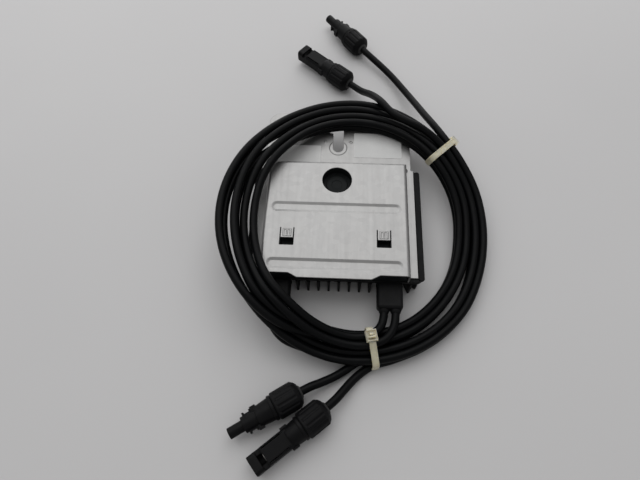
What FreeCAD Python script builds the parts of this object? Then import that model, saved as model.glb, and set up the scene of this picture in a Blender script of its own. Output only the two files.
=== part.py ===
import FreeCAD, Part
import math
import os
from FreeCAD import Placement, Rotation, Vector

# Solar power optimizer: a black ribbed case under a folded metal bracket, with four
# cables wound in one coil. X points right, Y towards the mounting tab, Z up.
# The origin is the centre of the base under the case, tab and glands.

# Overall sizes, in millimetres
total_height = 33.5
case_width = 129.0
case_length = 94.0
tab_length = 55.0
gland_reach = 19.0

# Bracket
sheet = 1.2
panel_inset = 11.25
panel_rise = 10.7
panel_edge_radius = 3.0
flange_inset = 4.6
flange_setback = 3.0
tab_inset = 6.5
tab_corner_radius = 9.0
tongue_width = 52.0
tongue_reach = 3.2
tongue_chamfer = 6.0
hole_radius = 11.2
hole_setback = 17.2
groove_inset = 5.0
groove_width = 8.6
groove_draft = 2.1
groove_depth = 0.9
groove_wall = 0.4
front_groove_setback = 7.0
rear_groove_setback = 24.2
window_width = 10.2
window_length = 13.9
window_inset = 18.35
window_setback = 21.2
window_open_share = 0.42
lance_gap = 0.6
ridge_width = 1.0
ridge_height = 0.3
slot_width = 8.4
slot_end_distance = 20.3
slot_mouth_distance = 36.0
slot_mouth_reach = 7.0
seat_radius = 7.3
seat_height = 0.5
dimple_spacing = 20.6
dimple_distance = 26.0
dimple_radius = 1.4
relief_radius = 2.2

# Labels on the tab
label_thickness = 0.15
label_corner_radius = 1.0
left_label_width = 38.0
left_label_length = 18.3
left_label_offset = 14.0
left_label_setback = 4.0
right_label_width = 38.5
right_label_length = 24.1
right_label_offset = 12.7
right_label_setback = 11.5

# Case
rim_thickness = 3.3
rim_corner_radius = 6.0
lip_width = 4.2
lip_rise = 1.2
base_inset = 7.0
base_corner_radius = 8.0
case_wall = 2.5
rib_pitch = 7.6
rib_root = 2.1
rib_tip = 1.6
rib_corner_radius = 13.0
deck_wall = 2.0
deck_clearance = 0.5
well_wall = 1.8
well_depth = 7.7
boss_radius = 8.0
boss_height = 0.9

# Board and what it carries
board_thickness = 1.6
board_level = 6.0
board_margin = 3.0
post_radius = 3.2
post_setback = 18.0
capacitor_spacing = 28.0
capacitor_width = 18.0
capacitor_length = 10.0
capacitor_height = 13.0
capacitor_setback = 14.0
switch_setback = 28.0
switch_width = 10.0
switch_length = 9.0
switch_height = 4.4
switch_tab_length = 1.5
switch_tab_height = 1.3
pad_thickness = 1.2
inductor_inset = 24.5
inductor_setback = 50.0
chip_setback = 66.0
chip_width = 10.0
chip_height = 1.2
screw_inset = 5.0
core_radius = 12.5
core_bore = 7.0
core_height = 9.0
winding_wall = 1.6
potting_level = 14.0

# Glands and cables
cable_diameter = 5.9
cable_pitch = 8.2
gland_inset = 24.5
gland_width = 18.3
gland_top_drop = 0.8
gland_height = 10.3
gland_corner = 2.4
gland_neck = 16.0
gland_root_rise = 1.0
fit_gap = 0.05

# Cable coil
coil_x = 15.5
coil_y = -18.5
coil_edge = 12.0
coil_crown = 0.55
coil_corner = 3.0

# Connectors
nut_radius = 9.5
nut_length = 19.0
nut_flutes = 12
cavity_radius = 8.2
thread_gap = 0.2
spigot_wall = 1.0
nut_back = 5.0
barrel_length = 52.4
socket_length = 58.3
tip_radius = 3.75
socket_width = 13.5
socket_height = 11.0
mouth_radius = 4.1
mouth_depth = 9.0
sleeve_radius = 3.4
cable_entry = 20.0
collar_reach = 2.4
barrel_cone_length = 10.6
barrel_body_radius = 5.5
barrel_body_end = 20.6
catch_width = 16.0
catch_height = 5.2
wing_width = 14.4
wing_height = 4.0
wing_slot_length = 3.6
wing_slot_depth = 1.3
socket_cone_length = 9.0
socket_ear_width = 16.4
socket_ear_height = 6.0
latch_thickness = 1.2
latch_slit = 0.7
latch_window_length = 4.0
crimp_radius = 2.8
crimp_length = 9.0
pin_radius = 2.0
pin_clearance = 0.1
tip_bore = 2.3

# Cable ties
tie_width = 4.8
tie_thickness = 1.2
tie_gap = 0.45
tie_head = 8.0
tie_head_height = 5.0
rear_tie_angle = 44.0
front_tie_angle = 277.5

# Places that follow from the sizes above
total_length = gland_reach + case_length + tab_length
gland_front = -total_length / 2
rim_front = gland_front + gland_reach
rim_back = rim_front + case_length
tab_end = rim_back + tab_length
half_case = case_width / 2
half_panel = half_case - panel_inset
half_flange = half_case - flange_inset
half_tab = half_case - tab_inset
groove_length = 2 * (half_panel - groove_inset)
window_x = half_panel - window_inset
rim_top = total_height - sheet - panel_rise
rim_bottom = rim_top - rim_thickness
tab_top = rim_top + sheet
panel_top = total_height
panel_under = panel_top - sheet
hole_y = rim_back - hole_setback
base_half = half_case - base_inset
base_front = rim_front + base_inset
base_back = rim_back - base_inset
cable_radius = cable_diameter / 2
gland_x = half_case - gland_inset
inductor_x = base_half - inductor_inset
gland_top = rim_top - gland_top_drop
gland_bottom = gland_top - gland_height
cable_level = (gland_top + gland_bottom) / 2
slot_end = rim_back + slot_end_distance
board_top = board_level + board_thickness


def box(x0, x1, y0, y1, z0, z1):
    return Part.makeBox(x1 - x0, y1 - y0, z1 - z0, Vector(x0, y0, z0))


def disc(x, y, z0, z1, radius):
    return Part.makeCylinder(radius, z1 - z0, Vector(x, y, z0))


def ring(x, y, z0, z1, outer, inner):
    return disc(x, y, z0, z1, outer).cut(disc(x, y, z0, z1, inner))


def prism(points, reach):
    wire = Part.makePolygon([Vector(*point) for point in points + points[:1]])
    return Part.Face(wire).extrude(Vector(*reach))


def rounded_prism(x0, x1, y0, y1, z0, z1, radius):
    solid = box(x0, x1, y0, y1, z0, z1)
    upright = [edge for edge in solid.Edges if abs(edge.tangentAt(edge.FirstParameter).z) > 0.99]
    return solid.makeFillet(radius, upright)


def stadium(x, y, z0, z1, length, width):
    half = (length - width) / 2
    middle = box(x - half, x + half, y - width / 2, y + width / 2, z0, z1)
    ends = [disc(x - half, y, z0, z1, width / 2), disc(x + half, y, z0, z1, width / 2)]
    return middle.multiFuse(ends).removeSplitter()


def stadium_wire(x, y, z, length, width):
    """The outline of a stadium at a height, with its long side along X."""
    half = (length - width) / 2
    radius = width / 2
    corners = [Vector(x - half, y - radius, z), Vector(x + half, y - radius, z),
               Vector(x + half, y + radius, z), Vector(x - half, y + radius, z)]
    right = Part.Arc(corners[1], Vector(x + half + radius, y, z), corners[2])
    left = Part.Arc(corners[3], Vector(x - half - radius, y, z), corners[0])
    edges = [Part.LineSegment(corners[0], corners[1]), right, Part.LineSegment(corners[2], corners[3]), left]
    return Part.Wire([edge.toShape() for edge in edges])


def joined(solids):
    return solids[0].multiFuse(solids[1:]).removeSplitter()


# Bracket

def raised_block(inset, front, back):
    """The pressed-up panel as a solid block, rounded along its two sides and its back."""
    radius = panel_edge_radius - inset
    half = half_panel - inset
    top = panel_top - inset
    block = box(-half, half, front, back, rim_top, top)
    edges = []
    for edge in block.Edges:
        middle = edge.CenterOfMass
        on_top = abs(middle.z - top) < 0.01
        if on_top and (abs(abs(middle.x) - half) < 0.01 or abs(middle.y - back) < 0.01):
            edges.append(edge)
    return block.makeFillet(radius, edges)


def panel_front_cuts():
    """The parts of the front edge cut back beside the tongue, over the glands."""
    front = rim_front - tongue_reach
    cuts = []
    for side in (-1, 1):
        inner = side * tongue_width / 2
        outer = side * (tongue_width / 2 + tongue_chamfer)
        far = side * (half_panel + 1)
        points = [(inner, front - 1, 0), (inner, front, 0), (outer, rim_front, 0),
                  (far, rim_front, 0), (far, front - 1, 0)]
        cuts.append(prism(points, (0, 0, total_height + 1)))
    return cuts


def flange_sheet():
    """The lower level of the sheet: two side flanges and the mounting tab in one outline."""
    tab = rounded_prism(-half_tab, half_tab, rim_back - 20, tab_end, rim_top, tab_top, tab_corner_radius)
    flanges = box(-half_flange, half_flange, rim_front + flange_setback, rim_back, rim_top, tab_top)
    return tab.fuse(flanges)


def slot_cut():
    """The open slot for the mounting bolt, with a mouth that widens to the left."""
    low = rim_top - 1
    high = tab_top + seat_height + 1
    half = slot_width / 2
    mouth = rim_back + slot_mouth_distance
    end = disc(0, slot_end, low, high, half)
    run = box(-half, half, slot_end, tab_end + 1, low, high)
    flare = [(-half, mouth - 1, low), (-half - slot_mouth_reach, mouth + 1, low),
             (-half - slot_mouth_reach, tab_end + 1, low), (-half, tab_end + 1, low)]
    return joined([end, run, prism(flare, (0, 0, high - low))])


def slot_seat():
    """The round embossed seat at the slot's closed end, and the two dimples beside it."""
    seat = Part.makeCone(seat_radius, seat_radius - seat_height, seat_height, Vector(0, slot_end, tab_top))
    pieces = [seat]
    for side in (-1, 1):
        place = Vector(side * dimple_spacing / 2, rim_back + dimple_distance, tab_top)
        pieces.append(Part.makeCone(dimple_radius, dimple_radius / 2, seat_height, place))
    return pieces


def groove_form(y, floor, over, wall):
    """A pressed groove with sloping walls, grown by a wall and carried on past its depth."""
    slope = groove_draft / groove_depth
    narrow = 2 * (wall - groove_draft)
    wide = 2 * (wall + over * slope)
    low = stadium_wire(0, y, floor, groove_length + narrow, groove_width + narrow)
    high = stadium_wire(0, y, floor + groove_depth + over, groove_length + wide, groove_width + wide)
    return Part.makeLoft([low, high], True, True)


def groove_centres():
    return [rim_front + front_groove_setback, rim_back - hole_setback - rear_groove_setback]


def window_centres():
    y = rim_front + window_setback + window_length / 2
    return [(-window_x, y), (window_x, y)]


def window_cut(x, y):
    """A window whose front part is open; a tongue stays in its back part, slit at the sides."""
    low = panel_under - 1
    high = panel_top + 1
    half = window_width / 2
    front = y - window_length / 2
    open_end = front + window_length * window_open_share
    cuts = [box(x - half, x + half, front, open_end, low, high)]
    for side in (-1, 1):
        edge = x + side * (half - lance_gap / 2)
        cuts.append(box(edge - lance_gap / 2, edge + lance_gap / 2, front, y + window_length / 2, low, high))
    return joined(cuts)


def window_ridges(x, y):
    """A comb of three small ridges and a bar pressed up on the tongue."""
    back = y + window_length / 2 - ridge_width
    start = y - window_length / 2 + window_length * window_open_share + ridge_width
    spacing = window_width / 4
    half = ridge_width / 2
    low = panel_top - sheet / 2
    high = panel_top + ridge_height
    ridges = [box(x - spacing - half, x + spacing + half, back - ridge_width, back, low, high)]
    for step in (-1, 0, 1):
        centre = x + step * spacing
        ridges.append(box(centre - half, centre + half, start, back - half, low, high))
    return ridges


def bracket():
    front = rim_front - tongue_reach
    skin = raised_block(0, front, rim_back)
    hollow = raised_block(sheet, front - 5, rim_back - sheet)
    half = half_panel - sheet
    opening = box(-half, half, front - 5, rim_back - sheet, rim_top - 1, rim_top + 3)
    bumps = []
    dents = []
    for y in groove_centres():
        bumps.append(groove_form(y, panel_under - groove_depth, 0.1, groove_wall))
        dents.append(groove_form(y, panel_top - groove_depth, 0.5, 0))
    solid = joined([skin, flange_sheet()]).multiFuse(slot_seat())
    solid = solid.cut(Part.makeCompound([hollow, opening]))
    solid = solid.multiFuse(bumps)
    reliefs = []
    for side in (-1, 1):
        reliefs.append(disc(side * half_panel, rim_back, rim_top - 1, tab_top + 3, relief_radius))
    windows = [window_cut(x, y) for x, y in window_centres()]
    hole = disc(0, hole_y, panel_under - 2, panel_top + 1, hole_radius)
    for cutter in panel_front_cuts() + dents + reliefs + windows + [hole, slot_cut()]:
        solid = solid.cut(cutter)
    ridges = []
    for x, y in window_centres():
        ridges += window_ridges(x, y)
    return solid.multiFuse(ridges).removeSplitter()


def label(x, setback, width, length):
    """A bare label on the tab, from its lower left corner."""
    y = rim_back + setback
    return rounded_prism(x, x + width, y, y + length, tab_top, tab_top + label_thickness,
                         label_corner_radius)


# Case

def rib(x, y, angle, length):
    """One upright tapered rib that starts at (x, y) and points along the angle in degrees."""
    half_root = rib_root / 2
    half_tip = rib_tip / 2
    start = -case_wall / 2
    points = [(start, -half_root, 0), (length, -half_tip, 0), (length, half_tip, 0), (start, half_root, 0)]
    solid = prism(points, (0, 0, rim_bottom + 0.5))
    solid.Placement = Placement(Vector(x, y, 0), Rotation(Vector(0, 0, 1), angle))
    return solid


def clear_of_glands(x):
    """True where a front rib stands beside the glands and not in their way."""
    return abs(abs(x) - gland_x) > gland_width / 2 + rib_root / 2 + 0.3


def row_places(low, high):
    """Evenly pitched places centred between two limits."""
    count = int((high - low) // rib_pitch)
    start = (low + high) / 2 - count * rib_pitch / 2
    return [start + index * rib_pitch for index in range(count + 1)]


def ribs():
    reach = base_inset + 1
    straight = base_half - base_corner_radius
    solids = []
    for x in row_places(-straight, straight):
        solids.append(rib(x, base_back, 90, reach))
        if clear_of_glands(x):
            solids.append(rib(x, base_front, -90, reach))
    for y in row_places(base_front + base_corner_radius, base_back - base_corner_radius):
        solids.append(rib(base_half, y, 0, reach))
        solids.append(rib(-base_half, y, 180, reach))
    for x_side in (-1, 1):
        for y_side, edge in ((-1, base_front), (1, base_back)):
            centre_x = x_side * (base_half - base_corner_radius)
            centre_y = edge - y_side * base_corner_radius
            for turn in (22.5, 45, 67.5):
                angle = math.degrees(math.atan2(y_side * math.sin(math.radians(turn)),
                                                x_side * math.cos(math.radians(turn))))
                solids.append(rib(centre_x, centre_y, angle, base_corner_radius + reach + 4))
    outline = rounded_prism(-half_case, half_case, rim_front - 1, rim_back, 0, rim_bottom + 0.5,
                            rib_corner_radius)
    return [solid.common(outline) for solid in solids]


def case_bosses():
    """Four bosses on the case floor that carry the board."""
    return [disc(x, y, case_wall - 0.5, board_level, 4.0) for x, y in screw_places()]


def screw_places():
    inset = case_wall + board_margin + screw_inset
    xs = (-base_half + inset, base_half - inset)
    ys = (base_front + inset, base_back - inset)
    return [(x, y) for x in xs for y in ys]


def gland_root(side):
    """The gland's lower part that lies under the rim, with its neck through the case wall."""
    x = side * gland_x
    half = gland_width / 2
    neck = gland_neck / 2
    top = rim_bottom + gland_root_rise
    root = box(x - half, x + half, rim_front, base_front, gland_bottom, top)
    through = box(x - neck, x + neck, base_front - 0.5, base_front + case_wall,
                  cable_level - cable_radius - 1.5, top)
    return root.fuse(through)


def case():
    rim = rounded_prism(-half_case, half_case, rim_front, rim_back, rim_bottom, rim_top, rim_corner_radius)
    base = rounded_prism(-base_half, base_half, base_front, base_back, 0, rim_bottom + 0.5,
                         base_corner_radius)
    lips = []
    for side in (-1, 1):
        x = side * (half_case - lip_width / 2)
        lip = stadium(0, 0, rim_top - 0.5, rim_top + lip_rise, case_length - 2.0, lip_width)
        lip.Placement = Placement(Vector(x, (rim_front + rim_back) / 2, 0), Rotation(Vector(0, 0, 1), 90))
        lips.append(lip)
    solid = joined([rim, base] + ribs() + lips)
    cavity = rounded_prism(-base_half + case_wall, base_half - case_wall, base_front + case_wall,
                           base_back - case_wall, case_wall, rim_top + 1, base_corner_radius - case_wall)
    solid = solid.cut(cavity)
    for side in (-1, 1):
        solid = solid.cut(gland_root(side))
    return solid.multiFuse(case_bosses()).removeSplitter()


def deck():
    """The closed black deck inside the raised panel, with a round well and two window pockets."""
    half = half_panel - sheet - deck_clearance
    front = rim_front + 1.0
    back = rim_back - sheet - deck_clearance
    top = panel_under - groove_depth
    outer = box(-half, half, front, back, rim_top, top)
    inner = box(-half + deck_wall, half - deck_wall, front + deck_wall, back - deck_wall,
                rim_top - 1, top - deck_wall)
    upper = [edge for edge in outer.Edges if abs(edge.CenterOfMass.z - top) < 0.01]
    shell = outer.makeFillet(1.8, upper).cut(inner)
    floor = panel_top - well_depth
    well = disc(0, hole_y, floor - well_wall, top, hole_radius + well_wall)
    solid = shell.fuse(well).cut(disc(0, hole_y, floor, top + 1, hole_radius))
    boss = disc(0, hole_y, floor - 0.5, floor + boss_height, boss_radius)
    solid = solid.fuse(boss).cut(disc(0, hole_y, floor + boss_height / 2, top, boss_radius / 2))
    solid = solid.multiFuse([window_pocket(x, y, top) for x, y in window_centres()])
    for x, y in window_centres():
        half_x = window_width / 2 - lance_gap
        reach = window_length / 2
        solid = solid.cut(box(x - half_x, x + half_x, y - reach, y + reach, top - 4.0, top + 1))
    return solid.removeSplitter()


def window_pocket(x, y, top):
    """A walled cup under each window."""
    half_x = window_width / 2 - lance_gap + 1.2
    reach = window_length / 2 + 1.2
    return box(x - half_x, x + half_x, y - reach, y + reach, top - 5.2, top)


# Board and what it carries

def board_outline(grow, z0, z1):
    inset = case_wall + board_margin - grow
    return rounded_prism(-base_half + inset, base_half - inset, base_front + inset, base_back - inset,
                         z0, z1, 4.0)


def circuit_board():
    solid = board_outline(0, board_level, board_top)
    for x, y in screw_places():
        solid = solid.cut(disc(x, y, board_level - 1, board_top + 1, 1.6))
    return solid


def board_screws():
    screws = []
    for x, y in screw_places():
        head = disc(x, y, board_top, board_top + 2.0, 2.8)
        socket = disc(x, y, board_top + 1.0, board_top + 3.0, 1.4)
        shank = disc(x, y, board_level, board_top, 1.5)
        screws.append(head.cut(socket).fuse(shank))
    return Part.makeCompound(screws)


def inductor_place(side):
    return side * inductor_x, base_front + inductor_setback


def inductor_core(side):
    x, y = inductor_place(side)
    low = board_top + winding_wall
    return ring(x, y, low, low + core_height, core_radius, core_bore)


def inductor_winding(side):
    """Wire wrapped round the core, left open in a small sector where the ends leave."""
    x, y = inductor_place(side)
    top = board_top + core_height + 2 * winding_wall
    coat = ring(x, y, board_top, top, core_radius + winding_wall, core_bore - winding_wall)
    gap = box(x - 3.0, x + 3.0, y - core_radius - 3.0, y, board_top - 1, top + 1)
    return coat.cut(inductor_core(side)).cut(gap)


def capacitor(side):
    x = side * capacitor_spacing / 2
    y = base_front + capacitor_setback
    half_x = capacitor_width / 2
    half_y = capacitor_length / 2
    return rounded_prism(x - half_x, x + half_x, y - half_y, y + half_y, board_top,
                         board_top + capacitor_height, 1.0)


def power_switch(side):
    x = side * inductor_x
    y = base_front + switch_setback
    half = switch_width / 2
    back = y + switch_length / 2
    body = box(x - half, x + half, back - switch_length, back, board_top, board_top + switch_height)
    tab = box(x - half, x + half, back, back + switch_tab_length, board_top, board_top + switch_tab_height)
    return body.fuse(tab).removeSplitter()


def thermal_pad():
    """A strip of soft pad that lies on both power switches."""
    reach = inductor_x + switch_width / 2
    y = base_front + switch_setback
    half = switch_length / 2 - 0.5
    level = board_top + switch_height
    return box(-reach, reach, y - half, y + half, level, level + pad_thickness)


def controller_chip():
    y = base_front + chip_setback
    half = chip_width / 2
    return rounded_prism(-half, half, y - half, y + half, board_top, board_top + chip_height, 0.4)


def post_places(side):
    return [side * gland_x + offset for offset in (-cable_pitch / 2, cable_pitch / 2)]


def terminal_posts():
    y = base_front + post_setback
    posts = []
    for side in (-1, 1):
        for x in post_places(side):
            post = disc(x, y, board_top, cable_level + cable_radius + 0.8, post_radius)
            bore = Part.makeCylinder(cable_radius - 1.2, 2 * post_radius + 2,
                                     Vector(x, y - post_radius - 1, cable_level), Vector(0, 1, 0))
            posts.append(post.cut(bore))
    return Part.makeCompound(posts)


def cable_ends(side):
    """The two cable ends inside one gland, with bare conductors in the terminal posts."""
    y = base_front + post_setback
    solids = []
    for x in post_places(side):
        sheath_end = y - post_radius - 0.3
        sheath = Part.makeCylinder(cable_radius - fit_gap, sheath_end - gland_front,
                                   Vector(x, gland_front, cable_level), Vector(0, 1, 0))
        core = Part.makeCylinder(cable_radius - 1.2 - fit_gap, y + post_radius - sheath_end,
                                 Vector(x, sheath_end, cable_level), Vector(0, 1, 0))
        solids.append(sheath.fuse(core))
    return Part.makeCompound(solids)


def potting(others):
    """Compound poured round the board up to its level, open where the parts stand."""
    block = rounded_prism(-base_half + case_wall, base_half - case_wall, base_front + case_wall,
                          base_back - case_wall, case_wall, potting_level, base_corner_radius - case_wall)
    for shape in others:
        block = block.cut(shape)
    return max(block.Solids, key=lambda solid: solid.Volume)


# Glands

def gland_bores(side, start, end, radius):
    return [Part.makeCylinder(radius, end - start, Vector(x, start, cable_level), Vector(0, 1, 0))
            for x in post_places(side)]


def gland(side):
    """A moulded block with two cable bores; its root passes under the rim into the case."""
    x = side * gland_x
    half = gland_width / 2
    block = box(x - half, x + half, gland_front, rim_front, gland_bottom, gland_top)
    edges = []
    for edge in block.Edges:
        middle = edge.CenterOfMass
        along = abs(middle.y - (gland_front + rim_front) / 2) < 0.01
        at_front = abs(middle.y - gland_front) < 0.01
        if along or at_front:
            edges.append(edge)
    solid = block.makeFillet(gland_corner, edges).fuse(gland_root(side))
    for bore in gland_bores(side, gland_front - 1, base_front + case_wall + 1, cable_radius):
        solid = solid.cut(bore)
    for pocket in gland_bores(side, rim_front - 6.0, rim_front, cable_radius + 0.7):
        solid = solid.cut(pocket)
    return solid.removeSplitter()


def grommet(side):
    """Two soft sleeves that seal the cables inside the gland."""
    sleeves = []
    for x in post_places(side):
        outer = Part.makeCylinder(cable_radius + 0.7, 6.0, Vector(x, rim_front - 6.0, cable_level),
                                  Vector(0, 1, 0))
        inner = Part.makeCylinder(cable_radius, 6.0, Vector(x, rim_front - 6.0, cable_level),
                                  Vector(0, 1, 0))
        sleeves.append(outer.cut(inner))
    return Part.makeCompound(sleeves)


# Cables

# The coil's outline round its turn: angle from +X in degrees, inner radius, outer radius, height of
# its underside and thickness. It lies on the floor at the right and front, climbs to the tab at the
# back and passes over the raised panel's two left corners. It is thickest where two leads join it.
coil_places = [(0, 76.0, 102.0, 3.0, 12), (20, 79.5, 106.0, 9.0, 12), (50, 79.0, 105.5, 23.0, 12),
               (80, 84.5, 110.5, 23.0, 12), (110, 85.5, 112.0, 23.2, 12), (130, 77.0, 105.0, 30.0, 12),
               (140, 74.5, 103.0, 34.0, 12), (180, 72.0, 102.5, 34.0, 12), (200, 73.0, 102.0, 34.0, 12),
               (220, 78.5, 102.0, 34.0, 12), (240, 80.0, 104.5, 20.5, 12), (260, 80.0, 104.0, 4.0, 12),
               (270, 79.5, 103.5, 2.3, 17.2), (290, 78.5, 103.0, 1.2, 18.4), (300, 78.0, 102.3, 0.0, 12),
               (340, 76.0, 100.0, 0.0, 12), (360, 76.0, 102.0, 3.0, 12)]
coil_step = 10


def coil_shape(angle):
    """Inner radius, outer radius, underside and thickness, in straight lines between the places."""
    angle = angle % 360
    for before, after in zip(coil_places, coil_places[1:]):
        if before[0] <= angle <= after[0]:
            share = (angle - before[0]) / (after[0] - before[0])
            return [low + (high - low) * share for low, high in zip(before[1:], after[1:])]


def coil_point(angle, radius, height):
    turn = math.radians(angle)
    return Vector(coil_x + radius * math.cos(turn), coil_y + radius * math.sin(turn), height)


def band_corners(inner, outer, low, thickness, cut):
    """The corners of an upright band with cut corners, as radius and height. Its outer edge keeps
    two cables' height, and the rest is as thick as given."""
    high = low + thickness
    edge = high - thickness + min(thickness, coil_edge)
    return [(inner + cut, low), (outer - cut, low), (outer, low + cut), (outer, edge - cut),
            (outer - cut, edge), (inner + (outer - inner) * coil_crown, high), (inner + cut, high),
            (inner, high - cut), (inner, low + cut)]


def coil_section(angle):
    """The coil's cross-section at an angle."""
    inner, outer, low, thickness = coil_shape(angle)
    corners = band_corners(inner, outer, low, thickness, coil_corner)
    points = [coil_point(angle, radius, height) for radius, height in corners]
    return Part.makePolygon(points + points[:1])


def coil():
    """The wound turns as one closed solid of their outer shape."""
    sections = [coil_section(angle) for angle in range(0, 360, coil_step)]
    return Part.makeLoft(sections + sections[:1], True, True, False)


def cord_path(name, points):
    """Straight runs joined by tangent arcs, each as large as its two runs allow."""
    places = [Vector(*point) for point in points]
    edges = []
    radii = []
    start = places[0]
    for before, corner, after in zip(places, places[1:], places[2:]):
        back = (before - corner).normalize()
        ahead = (after - corner).normalize()
        half_turn = (math.pi - back.getAngle(ahead)) / 2
        setback = 0.45 * min(corner.distanceToPoint(before), corner.distanceToPoint(after))
        radius = setback / math.tan(half_turn)
        radii.append(radius)
        first = corner + back * setback
        last = corner + ahead * setback
        centre = corner + (back + ahead).normalize() * (setback / math.sin(half_turn))
        middle = centre + (corner - centre).normalize() * radius
        edges.append(Part.LineSegment(start, first).toShape())
        edges.append(Part.Arc(first, middle, last).toShape())
        start = last
    edges.append(Part.LineSegment(start, places[-1]).toShape())
    print(name, "bend radii", [round(value, 1) for value in radii])
    return Part.Wire(edges)


def cord_tube(name, points):
    """A plain tube along a route, checked by its section times its length."""
    path = cord_path(name, points)
    direction = Vector(*points[1]) - Vector(*points[0])
    circle = Part.makeCircle(cable_radius, Vector(*points[0]), direction)
    solid = path.makePipeShell([Part.Wire(circle)], True, False)
    wanted = math.pi * cable_radius ** 2 * path.Length
    print(name, "length", round(path.Length, 1), "volume share", round(solid.Volume / wanted, 4))
    return solid


# Routes of the cable stretches outside the coil. A lead starts straight out of its gland bore, and
# a tail ends straight into its connector; the points between are chosen by hand.
gland_routes = {
    "input_lead_1": (-1, 1, [(-32.4, -98.4, 13.6), (-25.0, -102.8, 11.0), (-16.0, -105.6, 8.6),
                             (-6.8, -107.2, 7.0)]),
    "input_lead_2": (-1, 0, [(-40.8, -99.6, 12.6), (-33.2, -106.0, 9.6), (-24.0, -110.0, 7.6),
                             (-14.0, -112.4, 6.8)]),
    "output_lead_1": (1, 0, [(34.8, -97.8, 16.0), (30.0, -101.6, 16.2)]),
    "output_lead_2": (1, 1, [(43.0, -99.0, 16.0), (38.2, -104.6, 16.2)]),
}

tail_routes = {
    "input_barrel_tail": [(83.6, 53.0, 30.6), (81.5, 76, 21), (73.0, 100.5, 12.5), (60.5, 125.0, 5.8),
                          (44.5, 146.5, 5.6)],
    "input_socket_tail": [(75.0, 50.0, 30.0), (66.5, 63.0, 36.0), (56.5, 75.0, 39.5), (45.0, 86.5, 38.5),
                          (34.5, 99.5, 29), (23.5, 113.5, 15.2)],
    "output_barrel_tail": [(22.5, -112.6, 5.4), (10.0, -119.6, 4.6), (-3.5, -128.6, 4.6)],
    "output_socket_tail": [(24.2, -117.9, 4.7), (16.2, -127.2, 3.6), (9.6, -136.9, 6.4)],
}

# Each connector's kind, the place of its nut's cable end and its heading in degrees.
connectors = {
    "input_barrel": ("barrel", (19.5, 175.4), 129.1),
    "input_socket": ("socket", (8.1, 131.9), 140.0),
    "output_barrel": ("barrel", (-20.2, -141.0), 212.4),
    "output_socket": ("socket", (-2.4, -150.6), 219.7),
}
lead_straight = 8.0
tail_straight = 6.0


def lead_points(side, index, points):
    """A lead's whole route: straight out of its bore, then along the chosen points."""
    x = post_places(side)[index]
    return [(x, gland_front, cable_level), (x, gland_front - lead_straight, cable_level)] + points


def connector_point(name, along):
    """A point on a connector's axis, measured from the cable end of its nut."""
    kind, place, heading = connectors[name]
    turn = math.radians(heading)
    return (place[0] + along * math.cos(turn), place[1] + along * math.sin(turn), nut_radius)


def tail_points(name, points):
    """A tail's whole route: along the chosen points, then straight into its connector."""
    connector = name.replace("_tail", "")
    return points + [connector_point(connector, -tail_straight), connector_point(connector, cable_entry)]


# Connectors, each drawn along +X from the cable end of its nut

def rod(x0, x1, radius):
    return Part.makeCylinder(radius, x1 - x0, Vector(x0, 0, 0), Vector(1, 0, 0))


def across_box(x0, x1, width, height):
    """A box centred on the connector's axis."""
    return box(x0, x1, -width / 2, width / 2, -height / 2, height / 2)


def cap_nut():
    """A fluted cap nut with a domed cable end."""
    profile = [(0, 0), (0, 5.6), (1.2, 7.6), (3.6, nut_radius), (nut_length - 0.8, nut_radius),
               (nut_length, nut_radius - 0.8), (nut_length, 0)]
    wire = Part.makePolygon([Vector(x, 0, r) for x, r in profile + profile[:1]])
    solid = Part.Face(wire).revolve(Vector(0, 0, 0), Vector(1, 0, 0), 360)
    solid = solid.cut(rod(-1, nut_length + 1, cable_radius + 0.25))
    solid = solid.cut(rod(nut_back, nut_length + 1, cavity_radius))
    cutters = []
    for index in range(nut_flutes):
        turn = 2 * math.pi * (index + 0.5) / nut_flutes
        offset = nut_radius + 1.0
        place = Vector(2.0, offset * math.cos(turn), offset * math.sin(turn))
        cutters.append(Part.makeCylinder(1.5, nut_length - 4.5, place, Vector(1, 0, 0)))
    return solid.cut(Part.makeCompound(cutters))


def collet():
    """A slit clamp ring that grips the cable inside the nut."""
    outer = rod(nut_back + 0.2, nut_back + 7.0, cavity_radius - thread_gap - spigot_wall - 0.2)
    solid = outer.cut(rod(0, 20, cable_radius + 0.1))
    for turn in range(4):
        slit = box(nut_back + 2.0, nut_back + 8.0, cable_radius, nut_radius, -0.5, 0.5)
        slit.rotate(Vector(0, 0, 0), Vector(1, 0, 0), 45 + 90 * turn)
        solid = solid.cut(slit)
    return solid


def seal_ring():
    start = nut_back + 7.1
    outer = rod(start, nut_length, cavity_radius - thread_gap - spigot_wall - 0.1)
    return outer.cut(rod(0, 20, cable_radius + 0.05))


def rear_spigot():
    """The housing's threaded collar inside the nut, with the flange in front of it."""
    spigot = rod(nut_back + 1.5, nut_length + 0.4, cavity_radius - thread_gap)
    flange = rod(nut_length + 0.3, nut_length + collar_reach, nut_radius - 0.8)
    return spigot.fuse(flange)


def spigot_bore():
    return rod(nut_back, nut_length + 1.0, cavity_radius - thread_gap - spigot_wall)


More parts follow.
